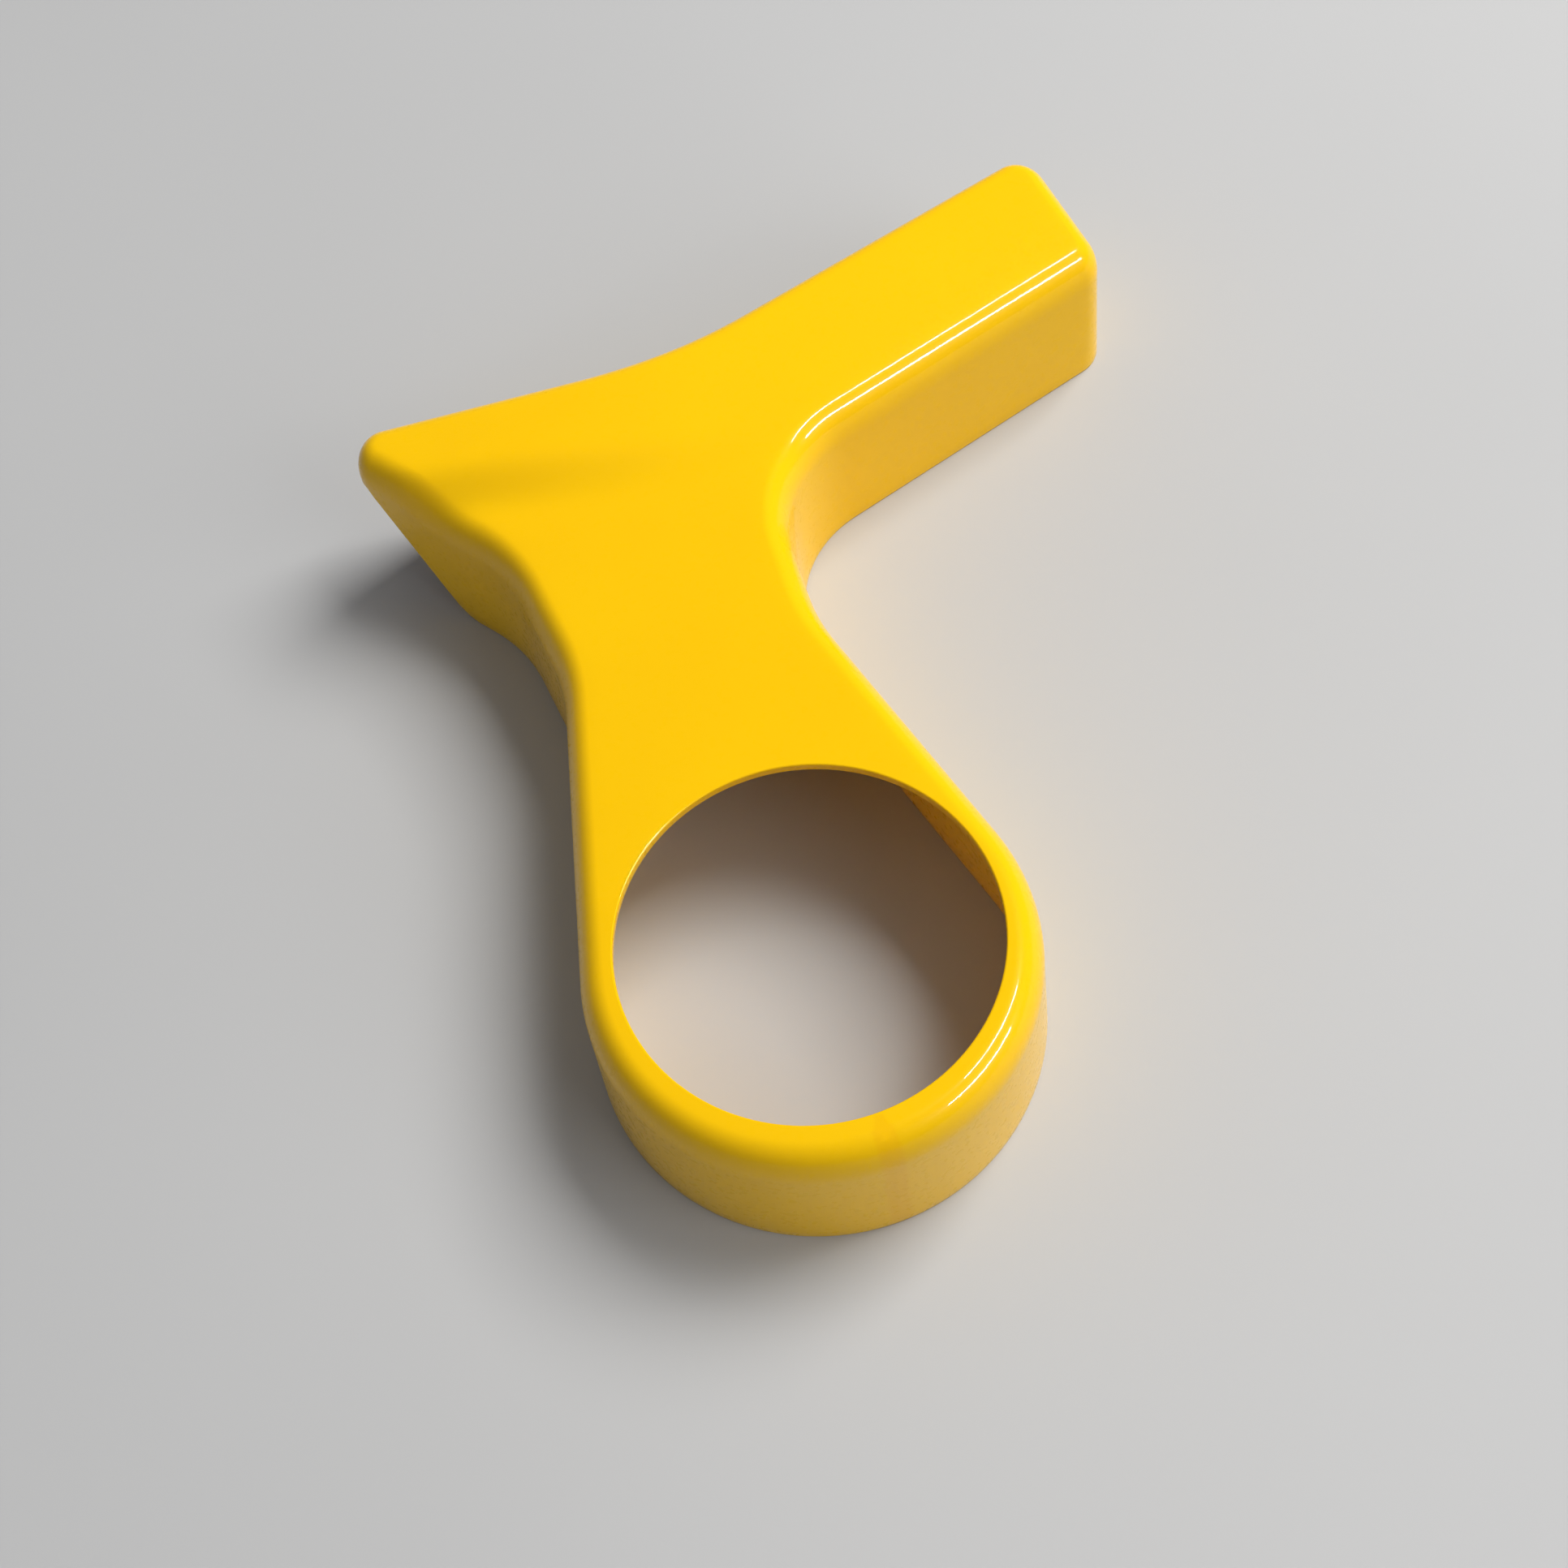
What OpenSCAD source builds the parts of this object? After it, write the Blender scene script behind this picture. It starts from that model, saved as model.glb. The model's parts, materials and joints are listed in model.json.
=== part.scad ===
// Gauge pod trim cover: a thin painted shell with a round gauge opening, a neck and a raised crossbar.
// Units are millimetres. Z is up and z = 0 is the plane of the lower rim.

/* [Gauge opening] */
// Radius of the round opening, for the body of a standard small gauge
hole_r = 26; // [24:0.5:28]
// Outer radius of the ring at the lower rim
ring_r = 32; // [31:0.1:36]
// How far the ring's rim sits forward of the opening's axis
ring_shift = 0.9; // [0:0.1:2]

/* [Shell] */
// Height of the ring and neck top above the rim
deck_h = 25; // [20:1:32]
// How far the crossbar top stands above the neck, along the back edge
bar_rise = 4; // [3:0.5:6]
// Fall of the arm's top towards its near wall, per millimetre of width
arm_fall = 0.18; // [0:0.01:0.2]
// Wall and top thickness
wall = 1.5; // [1.2:0.1:2.4]
// Width of the rounded top edge, seen from above
edge_in = 4; // [3:0.1:4.2]
// Height of the rounded top edge, seen from the side
edge_down = 6; // [3:0.5:7]
// How far the wall leans in between the rim and the top
draft = 0.9; // [0.5:0.1:1.2]

/* [Plan] */
// Length of the straight left side of the neck, from the ring to the bend
neck_left = 47.5; // [44:0.5:54]
// Length of the straight right side of the neck, from the ring to the waist
neck_right = 43.5; // [38:0.5:48]
// Distance from the waist to the inner corner of the arm
neck_rise = 26.5; // [24:0.5:34]
// Length of the arm along its near wall
arm_len = 67.5; // [56:0.5:76]
// Width of the arm at its end
arm_w = 26.5; // [22:0.5:30]
// Length of the wing along its back wall
wing_len = 58; // [50:0.5:68]

/* [Fixings] */
// Radius of a moulded fixing boss
boss_r = 4; // [3.5:0.5:5]
// Radius of the threaded bore in each brass insert
thread_r = 2; // [1.5:0.5:2]
// Length of a brass insert
insert_len = 8; // [6:1:12]

/* [Hidden] */
$fn = 96;
paint_yellow = [1, 0.8, 0];
brass = [0.78, 0.62, 0.3];
foam_grey = [0.2, 0.2, 0.21];

function dir(a) = [cos(a), sin(a)];

// Corners of the rim outline, worked out from the opening's axis at [0, 0].
ring_c = [0, -ring_shift];
left_tan = 190;
right_tan = 38;
ring_turn = (360 + right_tan - left_tan) / 2;
ring_reach = ring_r / cos(ring_turn / 2);
ring_left = ring_c + ring_reach * dir(left_tan + ring_turn / 2);
ring_right = ring_c + ring_reach * dir(right_tan - ring_turn / 2);
neck_waist = ring_c + ring_r * dir(right_tan) + neck_right * dir(right_tan + 90);
inner_corner = neck_waist + neck_rise * dir(110.5);
arm_near = inner_corner + arm_len * dir(40);
arm_far = arm_near + arm_w * dir(123);
bar_back = arm_far + (arm_len + 4.5) * dir(218.6);
wing_tip = bar_back + wing_len * dir(198.8);
neck_bend = ring_c + ring_r * dir(left_tan) + neck_left * dir(left_tan - 90);
wing_bend = neck_bend + 22.5 * dir(120);

// A corner of a plan: place, radius and number of arc steps.
function at(p, r, n) = [p[0], p[1], r, n];
cover_plan = [
    at(neck_waist, 30, 6),
    at(inner_corner, 20, 10),
    at(arm_near, 6, 6),
    at(arm_far, 6.6, 6),
    at(bar_back, 80, 7),
    at(wing_tip, 6, 7),
    at(wing_bend, 26, 5),
    at(neck_bend, 28, 6),
    at(ring_left, ring_r, 18),
    at(ring_right, ring_r, 18)
];

// Points of a plan drawn in by a distance, with every corner a true arc.
function heading(a, b) = atan2(b[1] - a[1], b[0] - a[0]);
function wrap(a) = a > 180 ? a - 360 : (a < -180 ? a + 360 : a);
function corner(p, v, q, inset) =
    let (
        h1 = heading(p, v),
        turn = wrap(heading(v, q) - h1),
        s = turn > 0 ? 1 : -1,
        a1 = h1 - 90,
        c = [v[0], v[1]] - s * v[2] / cos(turn / 2) * dir(a1 + turn / 2)
    )
    [for (j = [0 : v[3]]) c + (s * v[2] - inset) * dir(a1 + turn * j / v[3])];
function drawn_in(plan, inset) =
    let (n = len(plan))
    [for (i = [0 : n - 1]) each corner(plan[(i + n - 1) % n], plan[i], plan[(i + 1) % n], inset)];

// Outline of the crossbar alone, closed in front by the foot of its ramp.
bar_h = deck_h + bar_rise;
ramp_left = wing_bend + 16 * dir(150);
ramp_right = inner_corner + 6 * dir(40);
bar_plan = [
    at(ramp_right, 32, 6),
    at(arm_near, 6, 6),
    at(arm_far, 6.6, 6),
    at(bar_back, 80, 7),
    at(wing_tip, 6, 7),
    at(ramp_left, 12, 5)
];

// The crossbar's top is level over the wing and falls from the arm's back edge to its near wall,
// where two slopes round it off. Each plane is [distance from the near wall, height, tilt].
arm_turn = heading(inner_corner, arm_near);
near_top = bar_h - arm_fall * (arm_w - draft - edge_in);
function near_round(t) = [
    draft + edge_in * (1 - cos(t)), near_top - edge_down * (1 - sin(t)),
    atan2(edge_down * cos(t), edge_in * sin(t))
];
arm_planes = [[draft + edge_in, near_top, atan(arm_fall)], near_round(60), near_round(30)];
cutter = [300, 200, 40];
module above_the_arm(wall_gap) {
    for (plane = arm_planes) {
        translate([inner_corner[0], inner_corner[1], 0])
            rotate([0, 0, arm_turn])
            translate([0, plane[0] + wall_gap, plane[1] - wall_gap])
            rotate([plane[2], 0, 0])
            translate([-cutter[0] / 2, -cutter[1] / 2, 0])
            cube(cutter);
    }
}
function arm_top(p) =
    min(bar_h, near_top + arm_fall * ((p - inner_corner) * dir(arm_turn + 90) - draft - edge_in));

// A closed band that follows a plan with one cross-section of [inset, height] points.
module band(plan, section) {
    m = len(section);
    loops = [for (s = section) drawn_in(plan, s[0])];
    n = len(loops[0]);
    points = [for (j = [0 : m - 1]) for (p = loops[j]) [p[0], p[1], section[j][1]]];
    faces = [
        for (j = [0 : m - 1])
            for (i = [0 : n - 1])
                let (k = (j + 1) % m, l = (i + 1) % n)
                each [[j * n + i, k * n + i, k * n + l], [j * n + i, k * n + l, j * n + l]]
    ];
    polyhedron(points = points, faces = faces);
}

// Outer form: a leaning wall with a rounded top edge, filled behind.
core_inset = draft + edge_in + 0.3;
overlap = 0.3;
function edge_section(h) = concat(
    [[0, 0]],
    [for (a = [0 : 22.5 : 90]) [draft + edge_in * (1 - cos(a)), h - edge_down * (1 - sin(a))]],
    [[core_inset + overlap, h], [core_inset + overlap, 0]]
);
module solid_form(plan, h) {
    band(plan, edge_section(h));
    linear_extrude(height = h) polygon(drawn_in(plan, core_inset));
}
module bar_form() {
    difference() {
        solid_form(bar_plan, bar_h);
        above_the_arm(0);
    }
}

// The ramp up to the middle of the crossbar's rounded edge, which fades out where the arm's top falls.
// ramp_run is its length per millimetre of rise; ramp_from and ramp_to are measured along its foot.
ramp_in = draft + edge_in * (1 - cos(45));
ramp_turn = heading(ramp_left, ramp_right);
ramp_run = 2;
ramp_from = 12;
ramp_to = 29;
function ramp_section(s) =
    let (
        p = ramp_left + s * dir(ramp_turn),
        q = p + ramp_in * dir(ramp_turn + 90),
        top = arm_top(q) - edge_down * (1 - sin(45)) - 0.1,
        foot = ramp_in - (top - deck_h + 1) * ramp_run
    )
    [for (c = [[ramp_in, top], [foot, deck_h - 1], [ramp_in + 2.5, deck_h - 1], [ramp_in + 2.5, top]])
        let (r = p + c[0] * dir(ramp_turn + 90)) [r[0], r[1], c[1]]];
module ramp() {
    polyhedron(
        points = concat(ramp_section(ramp_from), ramp_section(ramp_to)),
        faces = [
            [0, 1, 2], [0, 2, 3], [4, 6, 5], [4, 7, 6],
            [0, 5, 1], [0, 4, 5], [1, 6, 2], [1, 5, 6], [2, 7, 3], [2, 6, 7], [3, 4, 0], [3, 7, 4]
        ]
    );
}

// Inner form: straight walls that step in under the rounded edge.
module hollow_form(plan, h) {
    translate([0, 0, -1]) linear_extrude(height = h - wall - edge_down * 0.6 + 1)
        polygon(drawn_in(plan, draft / 2 + wall));
    translate([0, 0, -1]) linear_extrude(height = h - wall + 1)
        polygon(drawn_in(plan, draft / 2 + wall + edge_in * 0.5));
}
module bar_hollow() {
    difference() {
        hollow_form(bar_plan, bar_h);
        above_the_arm(wall);
    }
}

// The wing's wall runs out towards its tip.
wing_cut_x = -62;
wing_cut_slope = 1.8;
wing_lip = edge_down + 0.6;
module under_the_wing() {
    cut_h = bar_h - wing_lip;
    translate([0, 200, 0]) rotate([90, 0, 0]) linear_extrude(height = 200)
        polygon([
            [wing_cut_x, 0], [wing_cut_x - cut_h / wing_cut_slope, cut_h],
            [-120, cut_h], [-120, -1], [wing_cut_x, -1]
        ]);
}

boss_foot = 6;
insert_r = 2.8;
bosses = [[-46, 83], [-12, 93], [18, 118]];
rim = drawn_in(cover_plan, 0);
rim_x = [for (p = rim) p[0]];
rim_y = [for (p = rim) p[1]];
middle = [(min(rim_x) + max(rim_x)) / 2, (min(rim_y) + max(rim_y)) / 2];
module placed(p, z) {
    translate([p[0] - middle[0], p[1] - middle[1], z]) children();
}

module cover_shell() {
    color(paint_yellow)
    placed([0, 0], 0)
    difference() {
        union() {
            difference() {
                union() {
                    solid_form(cover_plan, deck_h);
                    bar_form();
                    ramp();
                }
                hollow_form(cover_plan, deck_h);
                bar_hollow();
                under_the_wing();
            }
            for (b = bosses) {
                translate([b[0], b[1], boss_foot])
                    cylinder(r = boss_r, h = arm_top(b) - wall + 0.1 - boss_foot);
            }
        }
        translate([0, 0, -1]) cylinder(r = hole_r, h = bar_h + 2);
        for (b = bosses) {
            translate([b[0], b[1], boss_foot - 1]) cylinder(r = insert_r, h = insert_len + 1);
        }
    }
}

// Threaded brass insert in the mouth of a boss.
module insert(b) {
    color(brass)
    placed(b, boss_foot)
    difference() {
        cylinder(r = insert_r, h = insert_len);
        translate([0, 0, -1]) cylinder(r = thread_r, h = insert_len + 2);
    }
}
module insert_wing() {
    insert(bosses[0]);
}
module insert_root() {
    insert(bosses[1]);
}
module insert_arm() {
    insert(bosses[2]);
}

// Foam pads stuck under the top, with rounded ends.
foam_h = 3;
module foam(a, b, r, roof) {
    color(foam_grey)
    placed([0, 0], roof - foam_h)
    linear_extrude(height = foam_h)
        polygon([for (end = [[b, -90], [a, 90]]) for (t = [0 : 15 : 180])
            end[0] + r * dir(heading(a, b) + end[1] + t)]);
}
module foam_neck() {
    foam([-27, 44], [-12, 46], 6, deck_h - wall);
}
module foam_bar() {
    foam([-66, 77.3], [-60, 78], 3, bar_h - wall);
}

cover_shell();
insert_wing();
insert_root();
insert_arm();
foam_neck();
foam_bar();
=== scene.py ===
"""Looks of the gauge pod trim cover: painted shell, brass inserts and foam pads, on a plain pale floor."""
import json
import math

import bpy
import numpy as np
from mathutils import Matrix, Vector
from mathutils.geometry import delaunay_2d_cdt


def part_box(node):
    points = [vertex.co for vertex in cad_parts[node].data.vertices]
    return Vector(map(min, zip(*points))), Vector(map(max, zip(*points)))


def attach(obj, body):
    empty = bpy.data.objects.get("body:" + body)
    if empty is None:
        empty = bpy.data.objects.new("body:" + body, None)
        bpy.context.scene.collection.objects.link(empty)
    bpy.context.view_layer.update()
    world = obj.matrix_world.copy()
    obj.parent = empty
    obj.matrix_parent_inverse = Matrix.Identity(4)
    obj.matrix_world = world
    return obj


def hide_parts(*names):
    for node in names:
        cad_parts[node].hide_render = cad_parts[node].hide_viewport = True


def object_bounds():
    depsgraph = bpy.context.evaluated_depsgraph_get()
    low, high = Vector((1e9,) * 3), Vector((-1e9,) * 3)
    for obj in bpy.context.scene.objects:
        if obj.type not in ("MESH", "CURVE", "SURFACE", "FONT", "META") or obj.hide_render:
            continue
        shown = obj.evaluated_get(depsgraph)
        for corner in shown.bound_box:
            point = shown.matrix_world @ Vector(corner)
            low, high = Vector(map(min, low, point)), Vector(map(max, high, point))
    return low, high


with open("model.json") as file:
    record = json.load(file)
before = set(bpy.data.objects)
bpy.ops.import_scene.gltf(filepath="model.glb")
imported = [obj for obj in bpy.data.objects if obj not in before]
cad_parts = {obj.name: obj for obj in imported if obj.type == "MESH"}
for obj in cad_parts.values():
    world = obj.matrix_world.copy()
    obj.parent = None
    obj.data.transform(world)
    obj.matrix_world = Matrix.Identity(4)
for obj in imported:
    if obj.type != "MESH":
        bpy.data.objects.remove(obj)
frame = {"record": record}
CAD_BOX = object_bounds()
MM = 0.001
MOUNTS = {m["name"]: m for m in frame["record"]["mounts"]}
OPENING = MOUNTS["gauge_opening"]
HOLE = Vector(OPENING["pos_m"]) / MM
HOLE_R = OPENING["dims"]["r_mm"]
WALL = OPENING["dims"]["length_mm"]
DECK_H = HOLE.z + WALL / 2
BAR_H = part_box("cover_shell")[1].z / MM
RISE = BAR_H - DECK_H

# Driving sizes of the shell, in millimetres, as the CAD model has them.
RING_R = 32.0
RING_SHIFT = 0.9
EDGE_IN = 4.0
EDGE_DOWN = 6.0
DRAFT = 0.9
ARM_W = 26.5
ARM_TURN = 40
ARM_FALL = 0.18
LIP_R = 0.35
OPENING_LIP = 0.25


def heading(angle):
    return np.array([math.cos(math.radians(angle)), math.sin(math.radians(angle))])


# ---------------------------------------------------------------- plan of the rim
def plan_corners():
    """Corners of the rim outline: place and radius, anticlockwise, worked out from the opening's axis."""
    ring = np.array([HOLE.x, HOLE.y - RING_SHIFT])
    left, right = 190, 38
    turn = (360 + right - left) / 2
    reach = RING_R / math.cos(math.radians(turn / 2))
    waist = ring + RING_R * heading(right) + 43.5 * heading(right + 90)
    inner = waist + 26.5 * heading(110.5)
    near = inner + 67.5 * heading(ARM_TURN)
    far = near + ARM_W * heading(123)
    back = far + 72 * heading(218.6)
    tip = back + 58 * heading(198.8)
    bend = ring + RING_R * heading(left) + 47.5 * heading(left - 90)
    wing = bend + 22.5 * heading(120)
    return [
        (waist, 30), (inner, 20), (near, 6), (far, 6.6), (back, 80), (tip, 6), (wing, 26), (bend, 28),
        (ring + reach * heading(left + turn / 2), RING_R), (ring + reach * heading(right - turn / 2), RING_R),
    ]


CORNERS = plan_corners()
ARC_STEP = 1.1


def corner_facts():
    """Arc centre, start angle, turn and sign of each corner, and the step counts that all insets share."""
    facts = []
    n = len(CORNERS)
    for i, (v, r) in enumerate(CORNERS):
        p, q = CORNERS[i - 1][0], CORNERS[(i + 1) % n][0]
        before, after = math.atan2(*(v - p)[::-1]), math.atan2(*(q - v)[::-1])
        turn = (after - before + math.pi) % (2 * math.pi) - math.pi
        side = 1 if turn > 0 else -1
        a1 = before - math.pi / 2
        mid = a1 + turn / 2
        centre = v - side * r / math.cos(turn / 2) * np.array([math.cos(mid), math.sin(mid)])
        steps = max(6, math.ceil(abs(turn) * r / ARC_STEP), math.ceil(abs(turn) / math.radians(6)))
        facts.append((centre, r, a1, turn, side, steps))
    return facts


FACTS = corner_facts()


def arc(fact, inset):
    centre, r, a1, turn, side, steps = fact
    a = a1 + turn * np.linspace(0, 1, steps + 1)
    return centre + (side * r - inset) * np.c_[np.cos(a), np.sin(a)]


def straight_steps():
    steps = []
    for i, fact in enumerate(FACTS):
        a, b = arc(fact, 0)[-1], arc(FACTS[(i + 1) % len(FACTS)], 0)[0]
        steps.append(max(1, round(float(np.hypot(*(b - a))) / (1.6 * ARC_STEP))))
    return steps


STRAIGHTS = straight_steps()


def outline(inset):
    """The rim outline drawn in by inset, with the same number of points whatever the inset."""
    out = []
    for i, fact in enumerate(FACTS):
        pts = arc(fact, inset)
        nxt = arc(FACTS[(i + 1) % len(FACTS)], inset)[0]
        out.extend(pts)
        for k in range(1, STRAIGHTS[i]):
            out.append(pts[-1] + (nxt - pts[-1]) * k / STRAIGHTS[i])
    return np.array(out)


# ---------------------------------------------------------------- heights over the plan
INNER, WING = CORNERS[1][0], CORNERS[6][0]
RAMP_LEFT = WING + 16 * heading(150)
RAMP_RIGHT = INNER + 6 * heading(ARM_TURN)
RAMP_LENGTH = np.hypot(*(RAMP_RIGHT - RAMP_LEFT))
RAMP_ALONG = (RAMP_RIGHT - RAMP_LEFT) / RAMP_LENGTH
RAMP_INTO = np.array([-RAMP_ALONG[1], RAMP_ALONG[0]])
RAMP_FRONT = (1.5, 6.0)
RAMP_RUN = (7.5, 10.0)


def fall(p):
    """How far the top drops across the arm, from its back line towards its near wall."""
    inside_back = ARM_W - (p - INNER) @ heading(ARM_TURN + 90)
    soft = 4.0
    eased = (inside_back + soft) ** 2 / (4 * soft)
    return ARM_FALL * np.where(inside_back > soft, inside_back, np.where(inside_back > -soft, eased, 0))


def lift(p):
    """How far the top stands above the neck at plan points p: an eased ramp, longer towards the arm."""
    d = p - RAMP_LEFT
    along = np.clip(d @ RAMP_ALONG / RAMP_LENGTH, 0, 1)
    front = RAMP_FRONT[0] + (RAMP_FRONT[1] - RAMP_FRONT[0]) * along
    run = RAMP_RUN[0] + (RAMP_RUN[1] - RAMP_RUN[0]) * along
    t = np.clip((d @ RAMP_INTO + front) / run, 0, 1)
    return (RISE - fall(p)) * t * t * (3 - 2 * t)


WING_CUT_X = HOLE.x - 62
WING_CUT_SLOPE = 1.8
WING_LIP = EDGE_DOWN + 0.6


def rim_height(p):
    """Height of the lower rim: zero, and running up towards the wing's tip."""
    rise = (WING_CUT_X - p[:, 0]) * WING_CUT_SLOPE
    soft = 4.0
    rise = np.where(rise > soft, rise, np.where(rise > -soft, (rise + soft) ** 2 / (4 * soft), 0))
    return np.minimum(rise, BAR_H - WING_LIP)


# ---------------------------------------------------------------- shell mesh
class Mesh:
    """Collects points and faces, in millimetres."""

    def __init__(self):
        self.v, self.f = [], []

    def ring(self, pts):
        start = len(self.v)
        self.v.extend(map(tuple, pts))
        return list(range(start, start + len(pts)))

    def bridge(self, a, b, flip=False):
        n = len(a)
        for i in range(n):
            j = (i + 1) % n
            quad = (a[i], a[j], b[j], b[i])
            self.f.append(quad[::-1] if flip else quad)

    def fill(self, outer, hole, height, pitch=1.7, flip=False):
        """Closes the top between an outer loop and the opening with an even net of triangles."""
        op = np.array([self.v[i][:2] for i in outer])
        hp = np.array([self.v[i][:2] for i in hole])
        hole_r = float(np.hypot(hp[0, 0] - HOLE.x, hp[0, 1] - HOLE.y))
        grid = grid_points(op, hole_r, pitch)
        pts = np.vstack([op, hp, grid])
        n, m = len(op), len(hp)
        edges = [(i, (i + 1) % n) for i in range(n)] + [(n + i, n + (i + 1) % m) for i in range(m)]
        verts, _, faces, orig, _, _ = delaunay_2d_cdt([Vector(p) for p in pts], edges, [], 0, 1e-5)
        ids = list(outer) + list(hole) + self.ring(with_height(grid, height(grid)))
        where = [ids[o[0]] if o else None for o in orig]
        flat = np.array([tuple(v) for v in verts])
        mid = np.array([flat[list(f)].mean(0) for f in faces])
        keep = inside(mid, op) & ~inside(mid, hp)
        for f, ok in zip(faces, keep):
            if ok:
                tri = [where[i] for i in f]
                self.f.append(tuple(tri[::-1] if flip else tri))

    def make(self, name):
        me = bpy.data.meshes.new(name)
        me.from_pydata([Vector(p) * MM for p in self.v], [], self.f)
        me.validate()
        me.update()
        ob = bpy.data.objects.new(name, me)
        bpy.context.scene.collection.objects.link(ob)
        return ob


def with_height(plan, z):
    return np.c_[plan, np.broadcast_to(z, len(plan))]


def hole_ring(r, z, n=160):
    a = np.linspace(0, 2 * math.pi, n, endpoint=False)
    return with_height(np.c_[HOLE.x + r * np.cos(a), HOLE.y + r * np.sin(a)], z)


def inside(p, poly):
    """Which of the points p lie inside the closed outline poly."""
    x, y = p[:, 0][:, None], p[:, 1][:, None]
    a, b = poly, np.roll(poly, -1, 0)
    cross = (a[:, 1] > y) != (b[:, 1] > y)
    with np.errstate(divide="ignore", invalid="ignore"):
        at = (b[:, 0] - a[:, 0]) * (y - a[:, 1]) / (b[:, 1] - a[:, 1]) + a[:, 0]
    return (cross & (x < at)).sum(1) % 2 == 1


def grid_points(outer, hole_r, pitch):
    lo, hi = outer.min(0), outer.max(0)
    xs, ys = np.arange(lo[0], hi[0], pitch), np.arange(lo[1], hi[1], pitch * 0.866)
    pts = np.array([(x + (j % 2) * pitch / 2, y) for j, y in enumerate(ys) for x in xs])
    pts = pts[inside(pts, outer)]
    far = np.array([np.min(np.hypot(*(outer - p).T)) for p in pts])
    from_hole = np.hypot(pts[:, 0] - HOLE.x, pts[:, 1] - HOLE.y)
    return pts[(far > pitch * 0.6) & (from_hole > hole_r + pitch * 0.6)]


def shell():
    """The painted cover as one closed skin: outer side, rim, inner side and the opening's edge."""
    mesh = Mesh()

    def row(inset, share, above_rim, below_top):
        """Loop at a share of the height between rim and top, moved in as far as the wall leans there."""
        plan = outline(inset)
        z_low = rim_height(plan) + above_rim
        z = z_low + (DECK_H + lift(plan) - below_top - z_low) * share
        lean = DRAFT * np.clip(z / (DECK_H + lift(plan) - EDGE_DOWN), 0, 1)
        plan = plan + (outline(inset + 1) - plan) * lean[:, None]
        return mesh.ring(with_height(plan, z_low + (DECK_H + lift(plan) - below_top - z_low) * share))

    def lip_angles(n):
        return np.linspace(0, math.pi / 2, n + 1)

    # Outer side: the rim's lip, the leaning wall and the rounded edge up to the top.
    outer = [row(LIP_R * (1 - math.sin(a)), 0, LIP_R * (1 - math.cos(a)), 0) for a in lip_angles(3)]
    outer += [row(0, share, LIP_R, EDGE_DOWN) for share in np.linspace(0, 1, 14)[1:]]
    outer += [row(EDGE_IN * (1 - math.cos(a)), 1, LIP_R, EDGE_DOWN * (1 - math.sin(a)))
              for a in lip_angles(16)[1:]]
    # Inner side: the same from the rim's flat up to the roof.
    in_side, in_down = EDGE_IN - WALL, EDGE_DOWN - WALL
    inner = [row(WALL - LIP_R + LIP_R * math.sin(a), 0, LIP_R * (1 - math.cos(a)), 0) for a in lip_angles(3)]
    inner += [row(WALL, share, LIP_R, EDGE_DOWN) for share in np.linspace(0, 1, 14)[1:]]
    inner += [row(WALL + in_side * (1 - math.cos(a)), 1, LIP_R, EDGE_DOWN - in_down * math.sin(a))
              for a in lip_angles(8)[1:]]
    # The opening's edge, rounded above and below.
    lip, roof = OPENING_LIP, DECK_H - WALL
    edge = [hole_ring(HOLE_R + lip * (1 - math.sin(a)), DECK_H - lip * (1 - math.cos(a)))
            for a in lip_angles(4)]
    edge += [hole_ring(HOLE_R + lip * (1 - math.cos(a)), roof + lip * (1 - math.sin(a)))
             for a in lip_angles(4)]
    edge = [mesh.ring(pts) for pts in edge]
    for a, b in zip(outer[:-1], outer[1:]):
        mesh.bridge(a, b)
    mesh.bridge(outer[0], inner[0], flip=True)
    for a, b in zip(inner[:-1], inner[1:]):
        mesh.bridge(a, b, flip=True)
    for a, b in zip(edge[:-1], edge[1:]):
        mesh.bridge(a, b, flip=True)
    mesh.fill(outer[-1], edge[0], lambda p: DECK_H + lift(p))
    mesh.fill(inner[-1], edge[-1], lambda p: roof + lift(p), flip=True)
    return mesh


def revolve(mesh, centre, profile, n=48):
    """Closed solid of revolution from [r, z] points that start and end on the axis."""
    a = np.linspace(0, 2 * math.pi, n, endpoint=False)
    loops = []
    for r, z in profile[1:-1]:
        loops.append(mesh.ring(with_height(np.c_[centre[0] + r * np.cos(a), centre[1] + r * np.sin(a)], z)))
    start = mesh.ring([(centre[0], centre[1], profile[0][1])])[0]
    end = mesh.ring([(centre[0], centre[1], profile[-1][1])])[0]
    for i in range(n):
        j = (i + 1) % n
        mesh.f.append((start, loops[0][i], loops[0][j]))
        mesh.f.append((end, loops[-1][j], loops[-1][i]))
    for a_loop, b_loop in zip(loops[:-1], loops[1:]):
        mesh.bridge(a_loop, b_loop, flip=True)


def roof_height(x, y):
    """Height of the shell's underside at one place."""
    return DECK_H - WALL + float(lift(np.array([[x, y]]))[0])


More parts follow.
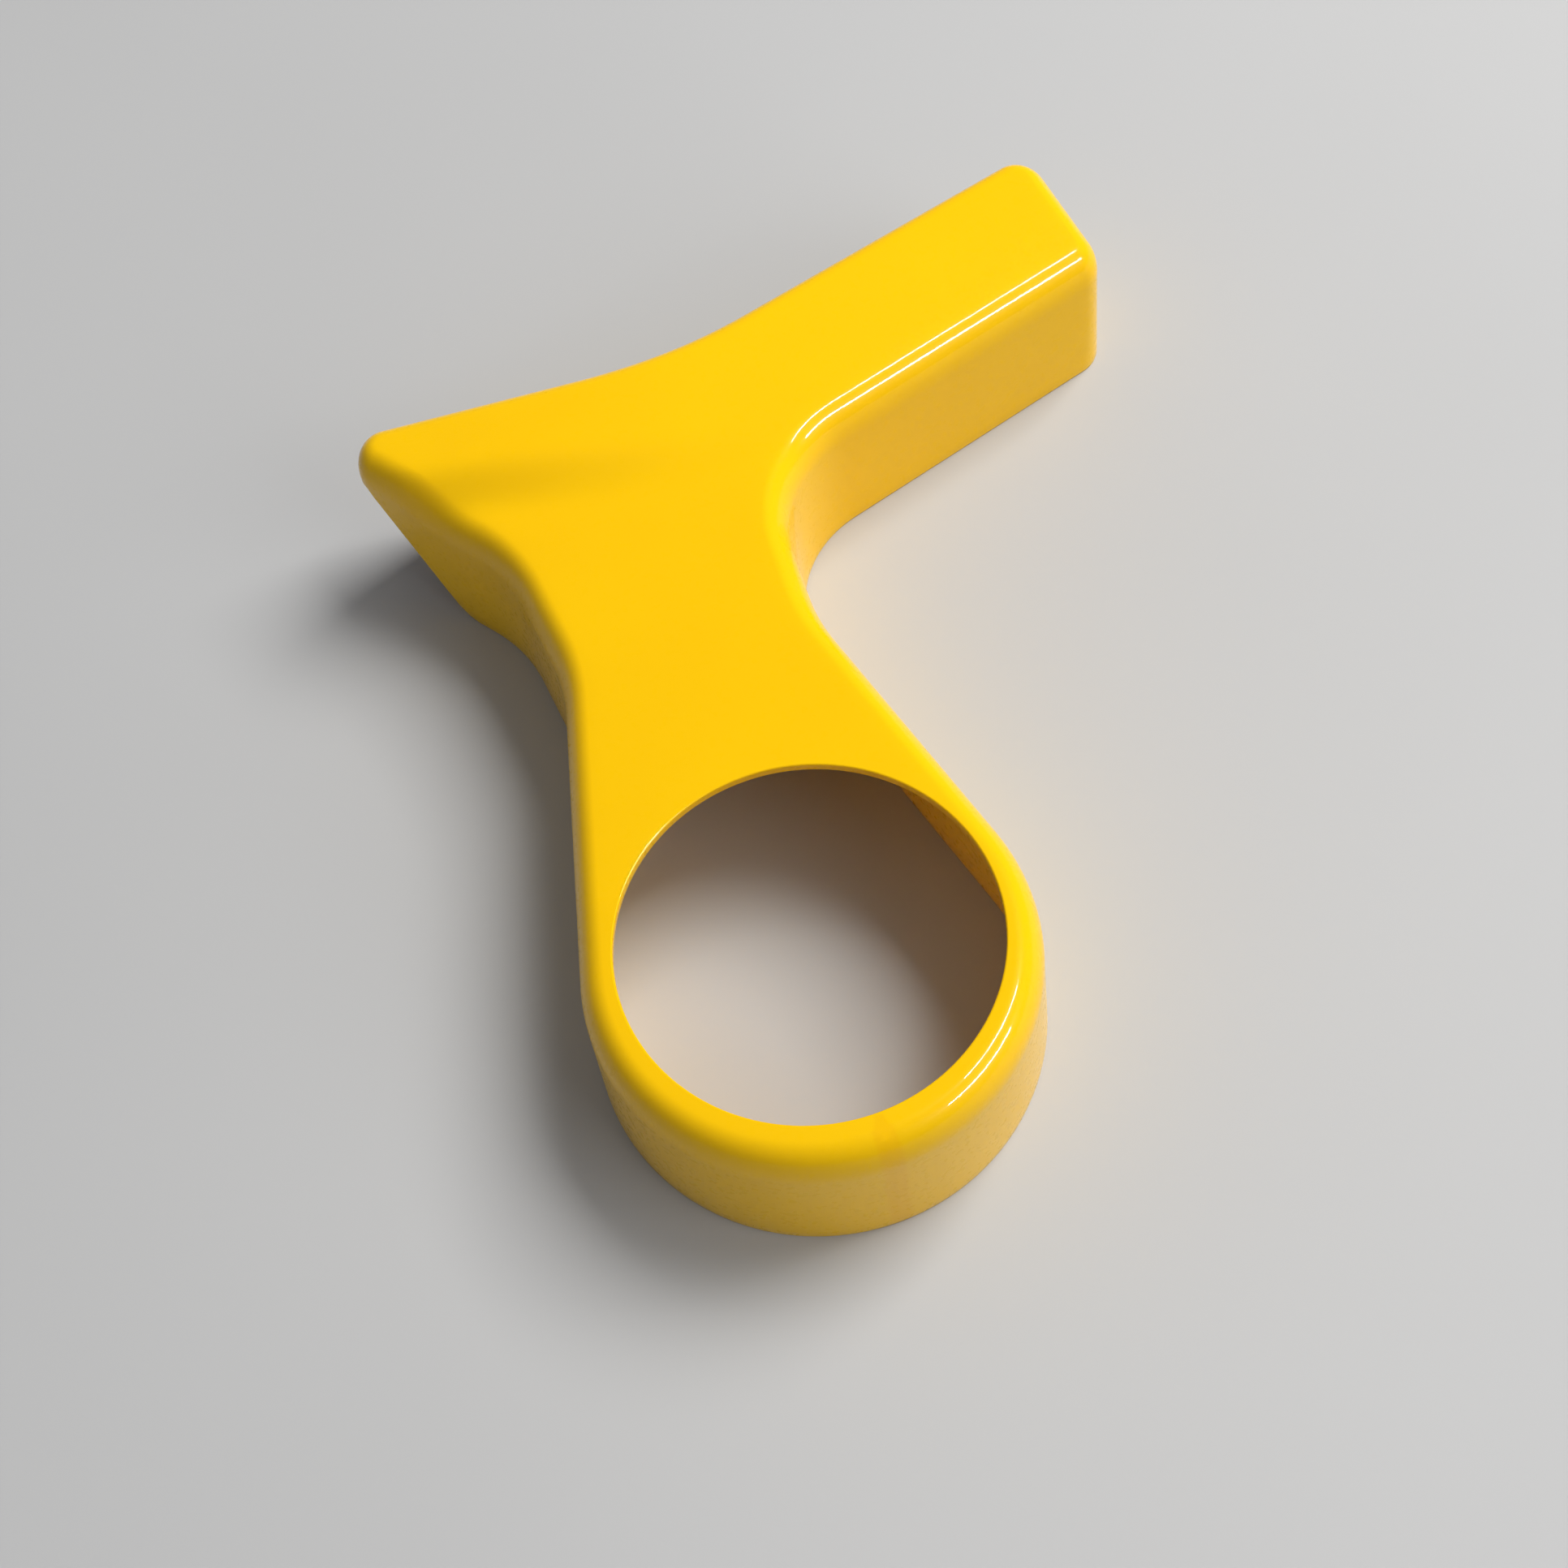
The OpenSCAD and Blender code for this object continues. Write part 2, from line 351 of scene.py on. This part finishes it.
def boss(mesh, node):
    """Moulded boss that hangs from the roof and holds an insert."""
    low, high = (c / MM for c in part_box(node))
    centre = (low + high) / 2
    hole = (high.x - low.x) / 2
    body, flare, foot_r = hole + 1.2, 1.6, 0.4
    slack, into_roof = 0.02, 0.6
    roof = roof_height(centre.x, centre.y)
    profile = [(0, roof + into_roof), (body + flare, roof + into_roof), (body + flare, roof)]
    profile += [(body + flare * (1 - math.sin(a)), roof - flare * (1 - math.cos(a)))
                for a in np.linspace(0, math.pi / 2, 7)[1:]]
    profile += [(body, z) for z in np.linspace(roof - flare, low.z + foot_r, 6)[1:]]
    profile += [(body - foot_r * (1 - math.cos(a)), low.z + foot_r - foot_r * math.sin(a))
                for a in np.linspace(0, math.pi / 2, 4)[1:]]
    profile += [(hole + slack, low.z), (hole + slack, high.z), (0, high.z)]
    start = len(mesh.v)
    revolve(mesh, centre, profile)
    # The boss meets the roof, which falls across the arm.
    for i in range(start, len(mesh.v)):
        x, y, z = mesh.v[i]
        if z > roof - flare - 0.01:
            mesh.v[i] = (x, y, z + roof_height(x, y) - roof)


def insert(node):
    """Knurled brass insert with a chamfered mouth and a turned thread."""
    low, high = (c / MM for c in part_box(node))
    centre = (low + high) / 2
    r_out = (high.x - low.x) / 2
    bore = MOUNTS[node.replace("insert_", "") + "_insert"]["dims"]["r_mm"]
    mesh = Mesh()
    a = np.linspace(0, 2 * math.pi, 96, endpoint=False)
    knurled_bands = ((0.12, 0.42), (0.58, 0.9))
    teeth, twist, knurl_depth = 24, 2.2, 0.16
    waist_depth, chamfer = 0.3, 0.25
    pitch, thread_depth = 0.7, 0.3

    def ring(r, z):
        return mesh.ring(with_height(np.c_[centre.x + r * np.cos(a), centre.y + r * np.sin(a)], z))

    outside = [ring(r_out - waist_depth, low.z)]
    for z in np.linspace(low.z + chamfer, high.z - chamfer, 28):
        share = (z - low.z) / (high.z - low.z)
        knurled = any(start < share < end for start, end in knurled_bands)
        knurl = knurl_depth * (0.5 - 0.5 * np.cos(teeth * a + twist * (z - low.z)))
        outside.append(ring(r_out - (knurl if knurled else waist_depth), z))
    outside.append(ring(r_out - waist_depth, high.z))
    thread = [ring(bore + chamfer, high.z)]
    for z in np.linspace(high.z - thread_depth, low.z + thread_depth, 72):
        phase = (z / pitch - a / (2 * math.pi)) % 1
        thread.append(ring(bore - thread_depth * np.abs(2 * phase - 1), z))
    thread.append(ring(bore + chamfer, low.z))
    for p, q in zip(outside[:-1], outside[1:]):
        mesh.bridge(p, q)
    mesh.bridge(outside[-1], thread[0])
    for p, q in zip(thread[:-1], thread[1:]):
        mesh.bridge(p, q)
    mesh.bridge(thread[-1], outside[0])
    return mesh


# End radius and direction of each pad, as the CAD model has them.
FOAM_FORM = {"foam_neck": (6.0, math.atan2(2, 15)), "foam_bar": (3.0, math.atan2(0.7, 6))}


def foam_pad(node):
    """Foam strip with round ends, softly rounded edges and a slightly uneven face."""
    low, high = (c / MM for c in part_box(node))
    end_r, lean = FOAM_FORM[node]
    along = np.array([math.cos(lean), math.sin(lean)])
    half = ((high.x - low.x) / 2 - end_r) / math.cos(lean)
    mid = np.array([(low.x + high.x) / 2, (low.y + high.y) / 2])
    mesh = Mesh()
    h = high.z - low.z
    soft = 0.7

    def loop(inset, z):
        r = end_r - inset
        pts = []
        for end, turn in ((1, -90), (-1, 90)):
            for t in np.linspace(0, 180, 31):
                ang = lean + math.radians(turn + t)
                pts.append(mid + end * half * along + r * np.array([math.cos(ang), math.sin(ang)]))
        pts = np.array(pts)
        wave = 0.08 * np.sin(pts[:, 0] * 2.1) * np.cos(pts[:, 1] * 1.7)
        return mesh.ring(with_height(pts, z + (0.08 + wave if z < low.z + soft else 0)))

    loops = [loop(soft * (1 - math.sin(a)), low.z + soft * (1 - math.cos(a)))
             for a in np.linspace(0, math.pi / 2, 6)]
    loops += [loop(0.12 * math.sin(math.pi * t), low.z + soft + (h - soft) * t) for t in (0.33, 0.66, 1.0)]
    for inset in (1.4, 2.0, end_r - 0.4):
        loops.insert(0, loop(inset, low.z))
    loops.append(loop(end_r - 0.4, high.z))
    for p, q in zip(loops[:-1], loops[1:]):
        mesh.bridge(p, q)
    mesh.f.append(tuple(loops[0][::-1]))
    mesh.f.append(tuple(loops[-1]))
    return mesh


# ---------------------------------------------------------------- materials
class Nodes:
    """Short calls for building a node tree."""

    def __init__(self, name):
        self.mat = bpy.data.materials.new(name)
        self.mat.use_nodes = True
        self.tree = self.mat.node_tree
        self.tree.nodes.clear()
        self.out = self.add("ShaderNodeOutputMaterial")
        self.bsdf = self.add("ShaderNodeBsdfPrincipled")
        self.link(self.bsdf.outputs[0], self.out.inputs["Surface"])
        self.coord = self.add("ShaderNodeTexCoord").outputs["Object"]

    def add(self, kind, **props):
        node = self.tree.nodes.new(kind)
        for k, v in props.items():
            setattr(node, k, v)
        return node

    def link(self, a, b):
        self.tree.links.new(a, b)

    def noise(self, scale, detail=2.0, rough=0.5):
        n = self.add("ShaderNodeTexNoise")
        n.inputs["Scale"].default_value = scale
        n.inputs["Detail"].default_value = detail
        n.inputs["Roughness"].default_value = rough
        self.link(self.coord, n.inputs["Vector"])
        return n.outputs["Fac"]

    def voronoi(self, scale):
        n = self.add("ShaderNodeTexVoronoi")
        n.inputs["Scale"].default_value = scale
        self.link(self.coord, n.inputs["Vector"])
        return n.outputs["Distance"]

    def ramp(self, fac, stops):
        n = self.add("ShaderNodeValToRGB")
        els = n.color_ramp.elements
        while len(els) < len(stops):
            els.new(0.5)
        for e, (pos, col) in zip(els, stops):
            e.position = pos
            e.color = (*col, 1) if hasattr(col, "__len__") else (col, col, col, 1)
        self.link(fac, n.inputs["Fac"])
        return n.outputs["Color"]

    def map(self, value, lo, hi, to_lo, to_hi, smooth=False):
        n = self.add("ShaderNodeMapRange")
        if smooth:
            n.interpolation_type = "SMOOTHSTEP"
        for key, val in (("From Min", lo), ("From Max", hi), ("To Min", to_lo), ("To Max", to_hi)):
            n.inputs[key].default_value = val
        self.link(value, n.inputs["Value"])
        return n.outputs["Result"]

    def mix(self, fac, a, b):
        n = self.add("ShaderNodeMix", data_type="RGBA")
        for key, x in ((0, fac), (6, a), (7, b)):
            if hasattr(x, "is_linked"):
                self.link(x, n.inputs[key])
            else:
                n.inputs[key].default_value = x if isinstance(x, float) else (*x, 1)
        return n.outputs[2]

    def bump(self, height, distance, strength=1.0, normal=None):
        n = self.add("ShaderNodeBump")
        n.inputs["Strength"].default_value = strength
        n.inputs["Distance"].default_value = distance
        self.link(height, n.inputs["Height"])
        if normal is not None:
            self.link(normal, n.inputs["Normal"])
        return n.outputs["Normal"]

    def set(self, **values):
        for key, val in values.items():
            self.bsdf.inputs[key.replace("_", " ")].default_value = val


def yellow_paint():
    """Gloss yellow paint under clear coat, with orange peel and fine dust nibs; the rounded edges get a
    deeper orange, which is painted shade.
    """
    n = Nodes("yellow_paint")
    cloud = n.noise(26, 3, 0.55)
    tone = n.ramp(cloud, ((0.3, (0.95, 0.545, 0.0)), (0.7, (0.97, 0.575, 0.0))))
    # Painted shade: where the surface is sharply convex (high pointiness), the colour is mixed towards a
    # deeper orange.
    edge = n.map(n.add("ShaderNodeNewGeometry").outputs["Pointiness"], 0.52, 0.6, 0.0, 0.6, smooth=True)
    color = n.mix(edge, tone, (0.93, 0.5, 0.0))
    n.link(color, n.bsdf.inputs["Base Color"])
    fine = n.noise(900, 2, 0.5)
    n.link(n.map(fine, 0.35, 0.65, 0.26, 0.34), n.bsdf.inputs["Roughness"])
    peel = n.noise(420, 1, 0.4)
    broad = n.noise(110, 2, 0.5)
    nib_place = n.voronoi(70)
    nibs = n.map(nib_place, 0.0, 0.035, 1.0, 0.0, smooth=True)
    body = n.bump(nibs, 0.00006, 0.2)
    n.link(body, n.bsdf.inputs["Normal"])
    coat = n.bump(peel, 0.00001, 0.12)
    coat = n.bump(broad, 0.00003, 0.12, coat)
    coat = n.bump(nibs, 0.00008, 0.4, coat)
    n.link(coat, n.bsdf.inputs["Coat Normal"])
    n.set(Coat_Weight=0.5, Coat_Roughness=0.05, Coat_IOR=1.45, Specular_IOR_Level=0.05)
    return n.mat


def turned_brass():
    """Brass with fine turning marks and a little tarnish."""
    n = Nodes("turned_brass")
    tarnish = n.noise(700, 4, 0.6)
    tone = n.ramp(tarnish, ((0.35, (0.5, 0.3, 0.09)), (0.65, (0.78, 0.56, 0.22))))
    n.link(tone, n.bsdf.inputs["Base Color"])
    n.link(n.map(n.noise(2600, 2, 0.6), 0.3, 0.7, 0.2, 0.42), n.bsdf.inputs["Roughness"])
    wave = n.add("ShaderNodeTexWave", bands_direction="Z")
    wave.inputs["Scale"].default_value = 1800
    wave.inputs["Distortion"].default_value = 1.2
    n.link(n.coord, wave.inputs["Vector"])
    n.link(n.bump(wave.outputs["Fac"], 0.00001, 0.4), n.bsdf.inputs["Normal"])
    n.set(Metallic=1.0)
    return n.mat


def closed_foam():
    """Dark closed-cell foam with fine pores."""
    n = Nodes("closed_foam")
    cells = n.voronoi(2600)
    tone = n.ramp(cells, ((0.1, (0.012, 0.012, 0.013)), (0.6, (0.045, 0.045, 0.048))))
    n.link(tone, n.bsdf.inputs["Base Color"])
    n.link(n.map(n.noise(500, 3, 0.6), 0.3, 0.7, 0.82, 0.95), n.bsdf.inputs["Roughness"])
    n.link(n.bump(cells, 0.0001, 0.7), n.bsdf.inputs["Normal"])
    return n.mat


def pale_floor():
    """Plain matt floor, very slightly uneven in tone."""
    n = Nodes("pale_floor")
    n.link(n.ramp(n.noise(3, 3), ((0.3, 0.5), (0.7, 0.54))), n.bsdf.inputs["Base Color"])
    n.set(Roughness=0.75)
    return n.mat


PAINT, BRASS, FOAM, FLOOR = yellow_paint(), turned_brass(), closed_foam(), pale_floor()


# ---------------------------------------------------------------- pieces
def piece(mesh, name, material, slot, *nodes, sharp=35):
    """Makes a mesh into a piece that rides on the root body and stands for the given nodes."""
    ob = mesh.make(name)
    ob.data.materials.append(material)
    ob.data.shade_smooth()
    ob.data.set_sharp_from_angle(angle=math.radians(sharp))
    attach(ob, "root")
    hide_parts(*nodes)
    return ob


INSERTS = ("insert_wing", "insert_root", "insert_arm")
cover = shell()
for node in INSERTS:
    boss(cover, node)
piece(cover, "painted_cover", PAINT, "yellow_paint", "cover_shell")
for node in INSERTS:
    piece(insert(node), "brass_" + node, BRASS, "brass", node)
for node in ("foam_neck", "foam_bar"):
    piece(foam_pad(node), "soft_" + node, FOAM, "foam", node)


# ---------------------------------------------------------------- floor, light and camera
def floor():
    mesh = Mesh()
    half, n = 2500.0, 8
    xs = np.linspace(-half, half, n + 1)
    ids = [[mesh.ring([(x, y, 0)])[0] for x in xs] for y in xs]
    for j in range(n):
        for i in range(n):
            mesh.f.append((ids[j][i], ids[j][i + 1], ids[j + 1][i + 1], ids[j + 1][i]))
    ob = mesh.make("floor")
    ob.location.z = CAD_BOX[0].z
    ob.data.materials.append(FLOOR)


def direction(azimuth, elevation):
    """Unit vector to an azimuth (0 is -Y, the front; positive to the right) and elevation, in degrees."""
    a, e = math.radians(azimuth), math.radians(elevation)
    return Vector((math.sin(a) * math.cos(e), -math.cos(a) * math.cos(e), math.sin(e)))


def area(name, aim, azimuth, elevation, distance, size, power, color=(1, 1, 1), along=None, glint=False):
    """Area light that faces aim. along turns its long side to that plan direction.

    A glint light shows only as a reflection, and the others only light the surfaces."""
    data = bpy.data.lights.new(name, "AREA")
    data.shape = "RECTANGLE"
    data.size, data.size_y = size
    data.energy, data.color = power, color
    ob = bpy.data.objects.new(name, data)
    bpy.context.scene.collection.objects.link(ob)
    towards = direction(azimuth, elevation)
    ob.location = aim + towards * distance
    z = towards
    x = Vector((*heading(along), 0)) if along is not None else Vector((0, 0, 1)).cross(z)
    x = (x - z * x.dot(z)).normalized()
    y = z.cross(x)
    ob.rotation_mode = "QUATERNION"
    ob.rotation_quaternion = Matrix((x, y, z)).transposed().to_quaternion()
    ob.visible_glossy, ob.visible_diffuse = glint, not glint
    return ob


OPENING_TOP = Vector((HOLE.x, HOLE.y, DECK_H)) * MM


def lights():
    middle = (CAD_BOX[0] + CAD_BOX[1]) / 2
    area("key", middle, 130, 52, 1.3, (0.7, 0.7), 18, (1.0, 0.99, 0.97))
    area("fill", middle, 65, 30, 1.4, (0.9, 0.9), 5, (1.0, 0.99, 0.98))
    area("tube_low", middle, 72, 31, 1.2, (0.65, 0.09), 15, along=40, glint=True)
    area("tube_high", middle, 106, 61, 1.2, (0.45, 0.07), 9, along=40, glint=True)
    world = bpy.data.worlds.new("studio")
    bpy.context.scene.world = world
    world.use_nodes = True
    back = world.node_tree.nodes["Background"]
    back.inputs["Color"].default_value = (0.86, 0.89, 0.95, 1)
    back.inputs["Strength"].default_value = 0.22


def camera():
    """The viewpoint: where it stands from the opening, and how it is rolled."""
    azimuth, elevation, roll, distance = 13.0, 60.28, -9.95, 0.2728
    aim = OPENING_TOP + Vector((-4.9, 22.8, 0)) * MM
    data = bpy.data.cameras.new("camera")
    data.lens, data.sensor_width = 45.6, 36
    data.clip_start, data.clip_end = 0.01, 20
    ob = bpy.data.objects.new("camera", data)
    bpy.context.scene.collection.objects.link(ob)
    back = direction(azimuth, elevation)
    ob.location = aim + back * distance
    turn = back.to_track_quat("Z", "Y").to_matrix() @ Matrix.Rotation(math.radians(roll), 3, "Z")
    ob.rotation_mode = "QUATERNION"
    ob.rotation_quaternion = turn.to_quaternion()
    bpy.context.scene.camera = ob


floor()
lights()
camera()
scene = bpy.context.scene
scene.view_settings.view_transform = "Standard"
scene.view_settings.look = "None"
